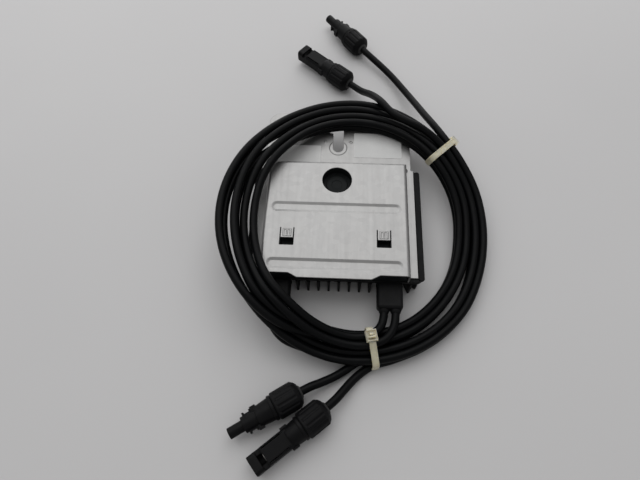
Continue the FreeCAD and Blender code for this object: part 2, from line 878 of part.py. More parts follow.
def barrel_housing():
    """The plug housing: a stepped body with two catch ears, two slotted wings and a thin hollow tip."""
    shoulder = nut_length + collar_reach
    body = Part.makeCone(7.8, 6.9, barrel_cone_length, Vector(shoulder - 0.1, 0, 0), Vector(1, 0, 0))
    ears = across_box(shoulder + 8.5, shoulder + 12.5, catch_width, catch_height)
    middle = rod(shoulder + 10.0, shoulder + barrel_body_end, barrel_body_radius)
    wings = across_box(shoulder + 12.4, shoulder + 18.6, wing_width, wing_height)
    slot_start = shoulder + 13.6
    slots = across_box(slot_start, slot_start + wing_slot_length, wing_width + 1, wing_height + 1)
    core = across_box(slot_start - 1, slot_start + wing_slot_length + 1, wing_width - 2 * wing_slot_depth,
                      wing_height + 2)
    tip = rod(shoulder + barrel_body_end - 0.6, barrel_length, tip_radius)
    solid = joined([rear_spigot(), body, ears, middle, wings.cut(slots.cut(core)), tip])
    solid = solid.cut(spigot_bore())
    solid = solid.cut(rod(nut_length, barrel_length - mouth_depth, crimp_radius + pin_clearance))
    return solid.cut(rod(nut_length, barrel_length + 1, tip_bore)).removeSplitter()


def barrel_contact():
    """The crimped metal pin in the plug."""
    crimp = rod(cable_entry, cable_entry + crimp_length, crimp_radius)
    pin_end = barrel_length - 2.0
    stem = rod(cable_entry + crimp_length - 0.5, pin_end, pin_radius)
    point = Part.makeCone(pin_radius, 0.6 * pin_radius, 1.2, Vector(pin_end, 0, 0), Vector(1, 0, 0))
    return joined([crimp, stem, point])


def socket_housing():
    """The socket housing: a square sleeve with a cross window and a latch arm on each side."""
    shoulder = nut_length + collar_reach
    half_height = socket_height / 2
    body = Part.makeCone(7.9, 7.2, socket_cone_length, Vector(shoulder - 0.1, 0, 0), Vector(1, 0, 0))
    ears = across_box(shoulder + 5.5, shoulder + 10.5, socket_ear_width, socket_ear_height)
    sleeve = across_box(shoulder + 8.0, socket_length, socket_width, socket_height)
    along = [edge for edge in sleeve.Edges if abs(edge.tangentAt(edge.FirstParameter).x) > 0.99]
    solid = joined([rear_spigot(), body, ears, sleeve.makeFillet(2.6, along)])
    solid = solid.cut(spigot_bore()).cut(rod(nut_length, socket_length, sleeve_radius + fit_gap))
    solid = solid.cut(rod(socket_length - mouth_depth, socket_length + 1, mouth_radius))
    window_end = socket_length - 5.8
    solid = solid.cut(box(window_end - latch_window_length, window_end, -socket_width, socket_width,
                          0.44 * half_height, half_height + 1))
    inner = socket_width / 2 - latch_thickness - latch_slit
    for low in (inner, -inner - latch_slit):
        slit = box(shoulder + 12.0, socket_length - 11.0, low, low + latch_slit,
                   -half_height - 1, half_height + 1)
        solid = solid.cut(slit)
    return solid.removeSplitter()


def socket_contact():
    """The crimped metal sleeve in the socket."""
    crimp = rod(cable_entry, cable_entry + crimp_length, crimp_radius)
    sleeve = rod(cable_entry + crimp_length - 0.5, socket_length - mouth_depth - 0.5, sleeve_radius)
    bore = rod(socket_length - 25.0, socket_length, pin_radius + pin_clearance)
    return crimp.fuse(sleeve).cut(bore).removeSplitter()


def connector_pieces(kind):
    """The five pieces of a connector in its own frame."""
    housing = barrel_housing() if kind == "barrel" else socket_housing()
    contact = barrel_contact() if kind == "barrel" else socket_contact()
    return {"housing": housing, "contact": contact, "nut": cap_nut(), "collet": collet(),
            "seal": seal_ring()}


def put_connector(shape, place, heading):
    moved = shape.copy()
    moved.rotate(Vector(0, 0, 0), Vector(0, 0, 1), heading)
    moved.translate(Vector(place[0], place[1], nut_radius))
    return moved


# Cable ties

def tie_band(angle, grow):
    """The coil's section at an angle, grown all round, as a band as wide as a tie."""
    inner, outer, low, thickness = coil_shape(angle)
    corners = band_corners(inner - grow, outer + grow, low - grow, thickness + 2 * grow,
                           coil_corner + grow * 0.4)
    points = [(radius, -tie_width / 2, height) for radius, height in corners]
    return prism(points, (0, tie_width, 0))


def tie_head_block(angle, on_top):
    """The square head, on top at the inner edge or outside at half height."""
    inner, outer, low, thickness = coil_shape(angle)
    half = tie_head / 2
    seat = tie_gap + 0.2
    if on_top:
        start = inner + 2.0
        base = low + thickness + seat
        return box(start, start + tie_head, -half, half, base, base + tie_head_height)
    middle = low + thickness / 2
    return box(outer + seat, outer + seat + tie_head_height, -half, half, middle - half, middle + half)


def tie(angle, head_on_top):
    """A locked tie round the coil: a closed strap with its square head, tilted with the coil."""
    inner, outer, low, thickness = coil_shape(angle)
    strap = tie_band(angle, tie_gap + tie_thickness).cut(tie_band(angle, tie_gap))
    solid = strap.fuse(tie_head_block(angle, head_on_top)).removeSplitter()
    before = coil_shape(angle - coil_step / 2)[2]
    after = coil_shape(angle + coil_step / 2)[2]
    arc_length = math.radians(coil_step) * (inner + outer) / 2
    slope = math.degrees(math.atan((after - before) / arc_length))
    solid.rotate(Vector(0, 0, low + thickness / 2), Vector(1, 0, 0), slope)
    solid.rotate(Vector(0, 0, 0), Vector(0, 0, 1), angle)
    solid.translate(Vector(coil_x, coil_y, 0))
    return solid


def build():
    nodes = {}
    nodes["bracket"] = bracket()
    nodes["case"] = case()
    nodes["deck"] = deck()
    left = -left_label_offset - left_label_width
    nodes["left_label"] = label(left, left_label_setback, left_label_width, left_label_length)
    nodes["right_label"] = label(right_label_offset, right_label_setback, right_label_width,
                                 right_label_length)
    inner = {}
    inner["circuit_board"] = circuit_board()
    inner["board_screws"] = board_screws()
    for name, side in (("input", -1), ("output", 1)):
        inner[name + "_inductor_core"] = inductor_core(side)
        inner[name + "_inductor_winding"] = inductor_winding(side)
        inner[name + "_capacitor"] = capacitor(side)
        inner[name + "_power_switch"] = power_switch(side)
        inner[name + "_cable_ends"] = cable_ends(side)
        nodes[name + "_gland"] = gland(side)
        nodes[name + "_grommets"] = grommet(side)
    inner["thermal_pad"] = thermal_pad()
    inner["controller_chip"] = controller_chip()
    inner["terminal_posts"] = terminal_posts()
    around = list(inner.values()) + [nodes["case"], nodes["input_gland"], nodes["output_gland"]]
    inner["potting"] = potting(around)
    nodes.update(inner)
    nodes["cable_coil"] = coil()
    for name, (side, index, points) in gland_routes.items():
        nodes[name] = cord_tube(name, lead_points(side, index, points)).cut(nodes["cable_coil"])
    for name, points in tail_routes.items():
        nodes[name] = cord_tube(name, tail_points(name, points)).cut(nodes["cable_coil"])
    for name, (kind, place, heading) in connectors.items():
        for piece, shape in connector_pieces(kind).items():
            nodes[name + "_" + piece] = put_connector(shape, place, heading)
    nodes["rear_tie"] = tie(rear_tie_angle, False)
    nodes["front_tie"] = tie(front_tie_angle, True)
    return nodes


os.makedirs("parts", exist_ok=True)
for node, shape in build().items():
    shape.exportStep("parts/" + node + ".step")
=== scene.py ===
import math

import bmesh
import bpy
from mathutils import Matrix, Vector
from mathutils.bvhtree import BVHTree


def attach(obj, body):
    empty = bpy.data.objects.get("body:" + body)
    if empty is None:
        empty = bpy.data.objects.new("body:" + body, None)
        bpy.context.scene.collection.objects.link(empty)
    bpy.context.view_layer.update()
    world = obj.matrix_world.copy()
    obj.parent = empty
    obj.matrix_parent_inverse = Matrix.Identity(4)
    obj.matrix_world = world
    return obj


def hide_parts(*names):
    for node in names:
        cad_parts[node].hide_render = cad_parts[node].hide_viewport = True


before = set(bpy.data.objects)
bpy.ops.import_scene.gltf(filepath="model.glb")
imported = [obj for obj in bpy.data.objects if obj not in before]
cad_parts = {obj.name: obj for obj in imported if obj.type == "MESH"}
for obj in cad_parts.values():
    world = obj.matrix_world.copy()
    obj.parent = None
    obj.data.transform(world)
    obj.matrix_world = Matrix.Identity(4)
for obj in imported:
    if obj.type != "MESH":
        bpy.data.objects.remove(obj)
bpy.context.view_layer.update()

# Sizes and places are in millimetres, as in the part's source, unless a comment says otherwise.
MM = 0.001

# Camera: its right, up and back axes and its place, in the frame of the object
CAMERA_RIGHT = (0.9989, 0.0435, -0.0155)
CAMERA_UP = (-0.0324, 0.8997, 0.4353)
CAMERA_BACK = (0.0329, -0.4344, 0.9001)
CAMERA_PLACE = (0.46, -188.3, 342.04)
CAMERA_LENS = 26.98
CAMERA_SENSOR = 36.0

# Coil: the cable's thickness, the height of a layer, the coil's centre, and the degrees from one
# point of a cable to the next
CABLE = 5.9
LAYER = 6.1
COIL_X = 15.5
COIL_Y = -18.5
COIL_STEP = 15

# The coil's outline: an angle, the inner radius, the outer radius and the height of its underside
COIL_PLACES = [(0, 76.2, 100.6, 3.0), (20, 79.3, 102.8, 9.0), (50, 79.6, 103.5, 23.0),
               (80, 84.5, 109.8, 23.0), (110, 85.5, 110.6, 23.2), (130, 77.0, 103.6, 30.0),
               (140, 74.5, 103.0, 34.0), (180, 72.0, 103.0, 34.0), (200, 73.0, 102.8, 34.0),
               (220, 78.5, 102.4, 34.0), (240, 80.0, 103.6, 20.5), (260, 80.8, 104.8, 4.0),
               (270, 80.6, 104.6, 2.3), (290, 80.2, 104.8, 1.2), (300, 79.6, 104.0, 0.0),
               (320, 77.6, 103.8, 0.0), (340, 76.6, 101.0, 0.0), (360, 76.2, 100.6, 3.0)]

# Where the two middle columns of the coil lie at an angle, as shares of the way from the inner
# column to the outer one
COLUMNS = [(0, 0.32, 0.67), (20, 0.333, 0.667), (60, 0.32, 0.67), (105, 0.31, 0.695),
           (130, 0.3, 0.7), (150, 0.29, 0.66), (166, 0.265, 0.575), (205, 0.26, 0.555),
           (222, 0.33, 0.665), (250, 0.325, 0.67), (290, 0.32, 0.68), (306, 0.28, 0.72),
           (332, 0.28, 0.72), (345, 0.32, 0.68), (360, 0.32, 0.67)]

# Both ends of a cable: the front of the glands, the height of their bores, the height of the
# connectors' axes, and how far a cable runs straight before and inside a connector
GLAND_FRONT = -84.0
CABLE_LEVEL = 15.65
CONNECTOR_LEVEL = 9.5
CONNECTOR_REACH = 6

# Each cable: the x of its bore, the points of its lead, its slots in the coil (angle, column from
# 0 inside to 3 outside, layer), the points of its tail, its length in metres, and the x, y and
# heading of its connector's rear end. A cable whose angles fall runs clockwise, seen from above.
CABLES = {
    "input_barrel_cable": {
        "bore": -44.1,
        "lead": [(-44.1, -91.6, 15.65), (-41.1, -99.3, 13.6), (-34.6, -106.0, 10.5),
                 (-24.8, -109.4, 7.8), (-14.0, -111.8, 6.4)],
        "slots": [(264, 2.05, 0.0), (280, 1.0, 0.0), (440, 1.0, 0.0), (484, 2.2, 0.0),
                  (512, 2.8, 0.0), (568, 2.8, 0.0), (590, 3.0, 0.0), (610, 3.0, 0.0),
                  (624, 3.0, 1.0), (756, 3.0, 1.0)],
        "tail": [(85.6, 55.0, 29.8), (79.2, 68.4, 28.0), (73.2, 84.0, 22.5), (67.0, 103.2, 15.0),
                 (58.4, 124.8, 8.5), (45.2, 148.4, 6.0)],
        "length": 1.05,
        "end": (19.5, 175.4, 129.1),
    },
    "input_socket_cable": {
        "bore": -35.9,
        "lead": [(-35.9, -93.0, 15.65), (-32.2, -100.2, 13.9), (-25.2, -104.4, 11.8),
                 (-15.3, -106.0, 9.4), (-5.0, -107.0, 7.2)],
        "slots": [(268, 0.75, 0.0), (284, 0.0, 0.0), (472, 0.0, 0.0), (512, 2.0, 0.0),
                  (610, 2.0, 0.0), (624, 2.0, 1.0), (756, 2.0, 1.0)],
        "tail": [(80.8, 50.6, 31.2), (67.8, 59.4, 36.8), (53.8, 64.6, 39.8), (41.8, 71.8, 40.2),
                 (33.0, 86.6, 38.8), (26.0, 103.6, 27.0), (19.4, 117.8, 14.4)],
        "length": 0.97,
        "end": (8.1, 131.9, 140.0),
    },
    "output_barrel_cable": {
        "bore": 35.9,
        "lead": [(35.9, -91.6, 15.65), (31.3, -99.6, 16.3), (23.4, -103.8, 16.5)],
        "slots": [(266, 0.5, 1.88), (256, 0.4, 1.95), (237, 0.0, 2.0), (229, 0.0, 1.75),
                  (217, 0.0, 0.5), (202, 0.1, 0.0), (176, 0.1, 0.0), (150, 0.0, 1.0),
                  (-105, 0.0, 1.0), (-127, 2.0, 1.0), (-276, 2.0, 1.0), (-306, 2.0, 0.0),
                  (-434, 2.0, 0.0)],
        "tail": [(30.2, -112.8, 4.8), (19.0, -117.6, 5.0), (6.5, -127.4, 4.8),
                 (-6.5, -134.2, 7.2)],
        "length": 1.2,
        "end": (-20.2, -141.0, 212.4),
    },
    "output_socket_cable": {
        "bore": 44.1,
        "lead": [(44.1, -92.6, 15.65), (39.5, -102.9, 16.3), (31.0, -108.4, 16.5)],
        "slots": [(270, 1.5, 1.88), (256, 1.4, 1.95), (237, 1.05, 2.0), (229, 1.0, 1.75),
                  (217, 1.0, 0.5), (202, 1.2, 0.0), (176, 1.2, 0.0), (150, 1.0, 1.0),
                  (-105, 1.0, 1.0), (-127, 3.0, 1.0), (-276, 3.0, 1.0), (-306, 3.0, 0.0),
                  (-436, 3.0, 0.0)],
        "tail": [(31.9, -119.2, 4.2), (24.2, -123.0, 3.8), (15.4, -130.6, 4.4),
                 (8.7, -138.9, 7.2)],
        "length": 1.27,
        "end": (-2.4, -150.6, 219.7),
    },
}
COIL_NODES = ["cable_coil", "input_lead_1", "input_lead_2", "output_lead_1", "output_lead_2",
              "input_barrel_tail", "input_socket_tail", "output_barrel_tail",
              "output_socket_tail"]

# Connectors: their names, and the endings of the CAD nodes of each connector
CONNECTORS = ["input_barrel", "input_socket", "output_barrel", "output_socket"]
CONNECTOR_PARTS = ["_housing", "_nut", "_contact", "_collet", "_seal"]

# Rounded edges: the least angle in degrees that counts as an edge, the steps across it, the share
# of its width past which a vertex has strayed, and the neutral weight of large and small faces
EDGE_ANGLE = 32.0
EDGE_SEGMENTS = 2
EDGE_STRAY = 0.6
NORMAL_WEIGHT = 50

# Each dressed CAD node: the width of its rounded edges and its least angle
DRESSED = {
    "bracket": (0.28, 18.0),
    "case": (0.3, EDGE_ANGLE),
    "deck": (0.3, EDGE_ANGLE),
    "left_label": (0.05, EDGE_ANGLE),
    "right_label": (0.05, EDGE_ANGLE),
    "input_gland": (0.3, EDGE_ANGLE),
    "output_gland": (0.3, EDGE_ANGLE),
}
CONNECTOR_EDGE = 0.25

# Cleaning a CAD node's mesh: vertices that are one, and degrees between faces that are one
WELD_DISTANCE = 0.002
FLAT_ANGLE = 0.4

# The bar in each window: the x of its middle, and its front, half its width, its depth and its
# lowest and highest places
WINDOW_BARS = {"left_window_bar": -34.9, "right_window_bar": 34.9}
WINDOW_BAR_FRONT = -36.96
WINDOW_BAR_HALF = 3.05
WINDOW_BAR_DEPTH = 1.0
WINDOW_BAR_LOW = 33.2
WINDOW_BAR_HIGH = 33.8
WINDOW_BAR_EDGE = 0.25

# Each tie: its angle on the coil, the height of the turns at its inner side, whether its head
# sits on top, and how many degrees it lies askew
TIES = {"rear_tie": (44.0, 12.0, False, 0), "front_tie": (277.5, 17.4, True, 5)}
TIE_OUTER_HEIGHT = 12.0
TIE_SLOPE_REACH = 5
TIE_WIDTH = 4.8
TIE_THICKNESS = 1.2
TIE_GAP = 0.45
TIE_EDGE = 0.2
TIE_EDGE_ANGLE = 40.0

# The strap: degrees of its slant from the outer turns up to the inner ones, cable radii across
# the inner turns, its chamfer, its rim, its toothed groove and its teeth
STRAP_SLANT = 70
STRAP_INNER_REACH = 3.2
STRAP_CHAMFER = 0.25
STRAP_RIM = 0.7
STRAP_GROOVE = 0.9
STRAP_GROOVE_DEPTH = 0.14
TOOTH_STEP = 0.62
TOOTH_DEPTH = 0.12

# The tie's head: its block, its window, the low corner, high corner and taper of its pawl and of
# the strap's cut end, how far its base lies out from the strap's inner face, and how far a head
# on top lies in from the coil's inner side
HEAD_SIDE = 8.0
HEAD_HEIGHT = 5.0
HEAD_TAPER = 0.45
HEAD_WALL = 1.3
HEAD_WINDOW_DEPTH = 2.4
HEAD_PAWL = ((-1.9, -1.7, 2.2), (0.4, 1.7, HEAD_HEIGHT - 0.5), 0.5)
HEAD_CUT_END = ((0.9, -2.4, 1.0), (2.1, 2.4, HEAD_HEIGHT + 1.0), 0.15)
HEAD_SEAT = 0.2
HEAD_INSET = 2.0

# Soft sleeves round the cables: their sides, the degrees that count as an edge, and their two
# profiles as places along the axis and radii
TURNED_SIDES = 40
TURNED_SHARP_ANGLE = 50
GLAND_LIP = [(0.0, 3.0), (0.0, 3.95), (0.6, 3.9), (2.2, 3.3), (2.4, 3.1), (2.4, 3.0)]
NUT_LIP = [(-0.6, 3.0), (-0.6, 4.9), (0.25, 4.7), (1.0, 3.7), (1.15, 3.3), (1.15, 3.0)]

# Each light: its place, its target and its two sides in metres, and its power in watts
LIGHTS = {
    "ceiling_light": ((-0.2, 0.75, 1.5), (0, 0, 0), (2.4, 1.7), 20),
    "back_light": ((-0.2, 1.7, 0.45), (0, 0, 0.05), (2.6, 0.8), 11.5),
}

# The strength of the room's even light, and the side of the floor in metres
ROOM_LIGHT = 0.42
FLOOR_SIDE = 8

# The material slot of each CAD node, by the end of its name
NODE_SLOTS = [("bracket", "galvanised_sheet"), ("case", "case_plastic"), ("deck", "deck_plastic"),
              ("_label", "label_film"), ("circuit_board", "board_laminate"),
              ("board_screws", "screw_steel"), ("inductor_core", "ferrite"),
              ("inductor_winding", "copper_wire"), ("capacitor", "capacitor_case"),
              ("power_switch", "chip_resin"), ("controller_chip", "chip_resin"),
              ("thermal_pad", "pad_rubber"), ("terminal_posts", "post_brass"),
              ("potting", "potting_compound"), ("_gland", "gland_plastic"),
              ("_grommets", "seal_rubber"), ("_seal", "seal_rubber"),
              ("_contact", "contact_metal"), ("_nut", "nut_plastic"),
              ("_collet", "collet_plastic"), ("_housing", "connector_plastic"),
              ("_tie", "tie_nylon"), ("cable_ends", "cable_jacket"),
              ("cable_coil", "cable_jacket"), ("_tail", "cable_jacket"), ("_1", "cable_jacket"),
              ("_2", "cable_jacket")]

# Each plain material and each metal: its dark and its light colour, its two roughnesses, its
# grain in features per metre, and the grain's height in metres
PLAIN_MATERIALS = {
    "case_plastic": ((0.003, 0.0031, 0.0034), (0.0052, 0.0054, 0.0058),
                     (0.46, 0.6), 2600, 0.000028),
    "deck_plastic": ((0.006, 0.0073, 0.0077), (0.0095, 0.011, 0.0116),
                     (0.42, 0.55), 2400, 0.000022),
    "gland_plastic": ((0.0036, 0.0037, 0.004), (0.006, 0.0061, 0.0066),
                      (0.42, 0.55), 2200, 0.00003),
    "connector_plastic": ((0.0026, 0.0026, 0.003), (0.0046, 0.0046, 0.005),
                          (0.4, 0.54), 2400, 0.000024),
    "nut_plastic": ((0.0028, 0.0028, 0.0032), (0.005, 0.005, 0.0055),
                    (0.44, 0.58), 2000, 0.00003),
    "collet_plastic": ((0.012, 0.012, 0.013), (0.018, 0.018, 0.02), (0.4, 0.5), 1600, 0.00001),
    "seal_rubber": ((0.012, 0.012, 0.012), (0.02, 0.02, 0.02), (0.62, 0.78), 1500, 0.00002),
    "pad_rubber": ((0.3, 0.32, 0.36), (0.36, 0.38, 0.42), (0.6, 0.75), 1500, 0.00002),
    "label_film": ((0.5, 0.5, 0.495), (0.56, 0.56, 0.553), (0.34, 0.46), 3400, 0.000006),
    "board_laminate": ((0.012, 0.09, 0.035), (0.02, 0.13, 0.05), (0.3, 0.42), 900, 0.00001),
    "ferrite": ((0.03, 0.03, 0.032), (0.05, 0.05, 0.052), (0.5, 0.65), 1800, 0.00003),
    "capacitor_case": ((0.3, 0.22, 0.04), (0.4, 0.31, 0.07), (0.35, 0.45), 1200, 0.00001),
    "chip_resin": ((0.012, 0.012, 0.013), (0.02, 0.02, 0.021), (0.5, 0.6), 3000, 0.00001),
    "potting_compound": ((0.012, 0.012, 0.012), (0.022, 0.022, 0.022),
                         (0.28, 0.45), 300, 0.00004),
}
METALS = {
    "screw_steel": ((0.45, 0.45, 0.46), (0.6, 0.6, 0.6), (0.28, 0.4), 1500, 0.00001),
    "copper_wire": ((0.5, 0.2, 0.09), (0.66, 0.29, 0.13), (0.26, 0.4), 900, 0.00003),
    "post_brass": ((0.58, 0.46, 0.2), (0.7, 0.57, 0.28), (0.28, 0.4), 1500, 0.00001),
    "contact_metal": ((0.3, 0.295, 0.28), (0.38, 0.37, 0.35), (0.4, 0.52), 1500, 0.000008),
}

# Patches of colour and of gloss in those materials, in features per metre
COLOUR_PATCHES = 60.0
GLOSS_PATCHES = COLOUR_PATCHES * 3.3

# Plastics that reflect less than most, as their moulded surface is dull
DULL_PLASTICS = ["case_plastic", "deck_plastic", "gland_plastic", "connector_plastic",
                 "nut_plastic"]
DULL_SPECULAR = 0.1

# The sockets of a Mix node that works on colours
MIX_FACTOR = 0
MIX_FIRST = 6
MIX_SECOND = 7
MIX_RESULT = 2


# Materials

def principled(name, colour, roughness, metallic=0.0):
    """A plain Principled material and its two main nodes."""
    material = bpy.data.materials.new(name)
    material.use_nodes = True
    shader = material.node_tree.nodes["Principled BSDF"]
    shader.inputs["Base Color"].default_value = (*colour, 1)
    shader.inputs["Roughness"].default_value = roughness
    shader.inputs["Metallic"].default_value = metallic
    return material, material.node_tree, shader


def shader_node(tree, kind, **inputs):
    """A node with some of its inputs set."""
    node = tree.nodes.new(kind)
    for name, value in inputs.items():
        node.inputs[name].default_value = value
    return node


def noise(tree, scale, detail=3.0, roughness=0.5, stretch=(1, 1, 1)):
    """Noise over the object's own coordinates, in features per metre."""
    place = shader_node(tree, "ShaderNodeTexCoord")
    mapping = shader_node(tree, "ShaderNodeMapping", Scale=stretch)
    tree.links.new(place.outputs["Object"], mapping.inputs["Vector"])
    texture = shader_node(tree, "ShaderNodeTexNoise", Scale=scale, Detail=detail,
                          Roughness=roughness)
    tree.links.new(mapping.outputs["Vector"], texture.inputs["Vector"])
    return texture.outputs["Fac"]


def cells(tree, scale):
    """Crystal-like cells over the object's own coordinates, one random shade each."""
    place = shader_node(tree, "ShaderNodeTexCoord")
    texture = shader_node(tree, "ShaderNodeTexVoronoi", Scale=scale)
    tree.links.new(place.outputs["Object"], texture.inputs["Vector"])
    grey = shader_node(tree, "ShaderNodeSeparateColor")
    tree.links.new(texture.outputs["Color"], grey.inputs["Color"])
    return grey.outputs["Red"]


def spread(tree, source, low, high, start=0.3, end=0.7):
    """A value between a start and an end, moved to a range of numbers."""
    node = tree.nodes.new("ShaderNodeMapRange")
    node.inputs["From Min"].default_value = start
    node.inputs["From Max"].default_value = end
    node.inputs["To Min"].default_value = low
    node.inputs["To Max"].default_value = high
    tree.links.new(source, node.inputs["Value"])
    return node.outputs["Result"]


def colour_mix(tree, factor, second, blend="MIX"):
    """A Mix node for colours, with its factor linked and its second colour set."""
    node = tree.nodes.new("ShaderNodeMix")
    node.data_type = "RGBA"
    node.blend_type = blend
    node.inputs[MIX_SECOND].default_value = (*second, 1)
    tree.links.new(factor, node.inputs[MIX_FACTOR])
    return node


def blend_colours(tree, factor, first, second):
    """A 0 to 1 value turned into a colour between two."""
    node = colour_mix(tree, factor, second)
    node.inputs[MIX_FIRST].default_value = (*first, 1)
    return node.outputs[MIX_RESULT]


def add_bump(tree, shader, height, depth, before=None):
    """Bump of a depth in metres from a 0 to 1 height, on top of an earlier bump."""
    node = shader_node(tree, "ShaderNodeBump", Distance=depth, Strength=1.0)
    tree.links.new(height, node.inputs["Height"])
    if before is not None:
        tree.links.new(before, node.inputs["Normal"])
    tree.links.new(node.outputs["Normal"], shader.inputs["Normal"])
    return node.outputs["Normal"]


def plain_material(name, dark, light, rough, grain, depth, metallic=0.0):
    """A material with patchy colour and gloss and a fine grained surface."""
    material, tree, shader = principled(name, dark, rough[0], metallic)
    patches = spread(tree, noise(tree, COLOUR_PATCHES, 4.0, 0.6), 0, 1)
    tree.links.new(blend_colours(tree, patches, dark, light), shader.inputs["Base Color"])
    gloss = noise(tree, GLOSS_PATCHES, 5.0, 0.65)
    tree.links.new(spread(tree, gloss, *rough), shader.inputs["Roughness"])
    add_bump(tree, shader, noise(tree, grain, 2.0), depth)
    return material


def galvanised():
    """Zinc-coated sheet: faint crystal cells, rolling streaks and handling haze."""
    material, tree, shader = principled("galvanised_sheet", (0.5, 0.5, 0.5), 0.34, 1.0)
    spangle = spread(tree, cells(tree, 260.0), 0.0, 1.0, 0.0, 1.0)
    base = blend_colours(tree, spangle, (0.3, 0.298, 0.296), (0.322, 0.32, 0.317))
    haze = spread(tree, noise(tree, 28.0, 5.0, 0.7), 0.0, 1.0, 0.35, 0.7)
    veil = colour_mix(tree, haze, (0.975, 0.972, 0.968), "MULTIPLY")
    tree.links.new(base, veil.inputs[MIX_FIRST])
    tree.links.new(veil.outputs[MIX_RESULT], shader.inputs["Base Color"])
    streaks = noise(tree, 420.0, 4.0, 0.6, (1, 0.04, 1))
    tree.links.new(spread(tree, streaks, 0.42, 0.49), shader.inputs["Roughness"])
    first = add_bump(tree, shader, streaks, 0.000006)
    add_bump(tree, shader, noise(tree, 2600.0, 2.0), 0.000008, first)
    return material


def jacket_material():
    """Cable jacket: soft black rubber with uneven gloss, dust and a fine grain."""
    material, tree, shader = principled("cable_jacket", (0.01, 0.01, 0.011), 0.4)
    dust = spread(tree, noise(tree, 900.0, 6.0, 0.75), 0.0, 1.0, 0.52, 0.8)
    base = blend_colours(tree, dust, (0.0016, 0.0018, 0.0021), (0.0045, 0.0048, 0.0054))
    tree.links.new(base, shader.inputs["Base Color"])
    scuffs = noise(tree, 75.0, 5.0, 0.7)
    tree.links.new(spread(tree, scuffs, 0.33, 0.5), shader.inputs["Roughness"])
    first = add_bump(tree, shader, noise(tree, 320.0, 2.0), 0.00003)
    add_bump(tree, shader, noise(tree, 3600.0, 3.0), 0.000012, first)
    shader.inputs["Specular IOR Level"].default_value = 0.09
    return material


def nylon():
    """Natural nylon: warm white, with light scattered under a waxy surface."""
    material, tree, shader = principled("tie_nylon", (0.66, 0.64, 0.53), 0.36)
    milk = spread(tree, noise(tree, 240.0, 3.0), 0, 1)
    tree.links.new(blend_colours(tree, milk, (0.52, 0.48, 0.36), (0.6, 0.56, 0.43)),
                   shader.inputs["Base Color"])
    tree.links.new(spread(tree, noise(tree, 600.0), 0.3, 0.44), shader.inputs["Roughness"])
    shader.inputs["Subsurface Weight"].default_value = 1.0
    shader.inputs["Subsurface Radius"].default_value = (1.0, 0.9, 0.7)
    shader.inputs["Subsurface Scale"].default_value = 0.003
    add_bump(tree, shader, noise(tree, 1800.0), 0.00001)
    return material


def paper():
    """The floor: plain pale paper."""
    material, tree, shader = principled("floor_paper", (0.5, 0.5, 0.5), 0.7)
    fibre = spread(tree, noise(tree, 3.0, 3.0), 0, 1)
    tree.links.new(blend_colours(tree, fibre, (0.505, 0.5, 0.503), (0.525, 0.52, 0.522)),
                   shader.inputs["Base Color"])
    return material


def make_materials():
    """One material for each material slot of the record."""
    made = {"galvanised_sheet": galvanised(), "cable_jacket": jacket_material(),
            "tie_nylon": nylon()}
    for name, values in PLAIN_MATERIALS.items():
        made[name] = plain_material(name, *values)
    for name, values in METALS.items():
        made[name] = plain_material(name, *values, metallic=1.0)
    for name in DULL_PLASTICS:
        shader = made[name].node_tree.nodes["Principled BSDF"]
        shader.inputs["Specular IOR Level"].default_value = DULL_SPECULAR
    return made


# Pieces

def slot_of(node):
    """The material slot of a CAD node."""
    for ending, slot in NODE_SLOTS:
        if node.endswith(ending):
            return slot
    raise ValueError(node)


def mesh_of(edit, name):
    """A mesh from what was edited, which is freed."""
    mesh = bpy.data.meshes.new(name)
    edit.to_mesh(mesh)
    edit.free()
    return mesh


def new_piece(name, mesh, slot, *nodes):
    """A mesh as a finished piece of the object that stands for some CAD nodes."""
    piece = bpy.data.objects.new(name, mesh)
    bpy.context.scene.collection.objects.link(piece)
    piece.data.materials.append(MATERIALS[slot])
    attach(piece, "root")
    if nodes:
        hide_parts(*nodes)
    return piece


def apply_modifiers(piece):
    """The piece's mesh with its modifiers worked in."""
    bpy.context.view_layer.update()
    depsgraph = bpy.context.evaluated_depsgraph_get()
    result = bpy.data.meshes.new_from_object(piece.evaluated_get(depsgraph))
    piece.modifiers.clear()
    piece.data = result


def soften(piece, width, angle=EDGE_ANGLE):
    """Small rounded edges wherever two faces meet at more than an angle.

    A vertex that the bevel throws past the old surface is put back on it."""
    old_surface = BVHTree.FromPolygons([vertex.co for vertex in piece.data.vertices],
                                       [polygon.vertices for polygon in piece.data.polygons])
    bevel = piece.modifiers.new("edges", "BEVEL")
    bevel.width = width * MM
    bevel.segments = EDGE_SEGMENTS
    bevel.limit_method = "ANGLE"
    bevel.angle_limit = math.radians(angle)
    bevel.miter_outer = "MITER_ARC"
    bevel.use_clamp_overlap = False
    bevel.loop_slide = False
    apply_modifiers(piece)
    for vertex in piece.data.vertices:
        place, _, _, distance = old_surface.find_nearest(vertex.co)
        if distance > EDGE_STRAY * width * MM:
            vertex.co = place
    for polygon in piece.data.polygons:
        polygon.use_smooth = True
    weighted = piece.modifiers.new("normals", "WEIGHTED_NORMAL")
    weighted.keep_sharp = False
    weighted.weight = NORMAL_WEIGHT
    apply_modifiers(piece)


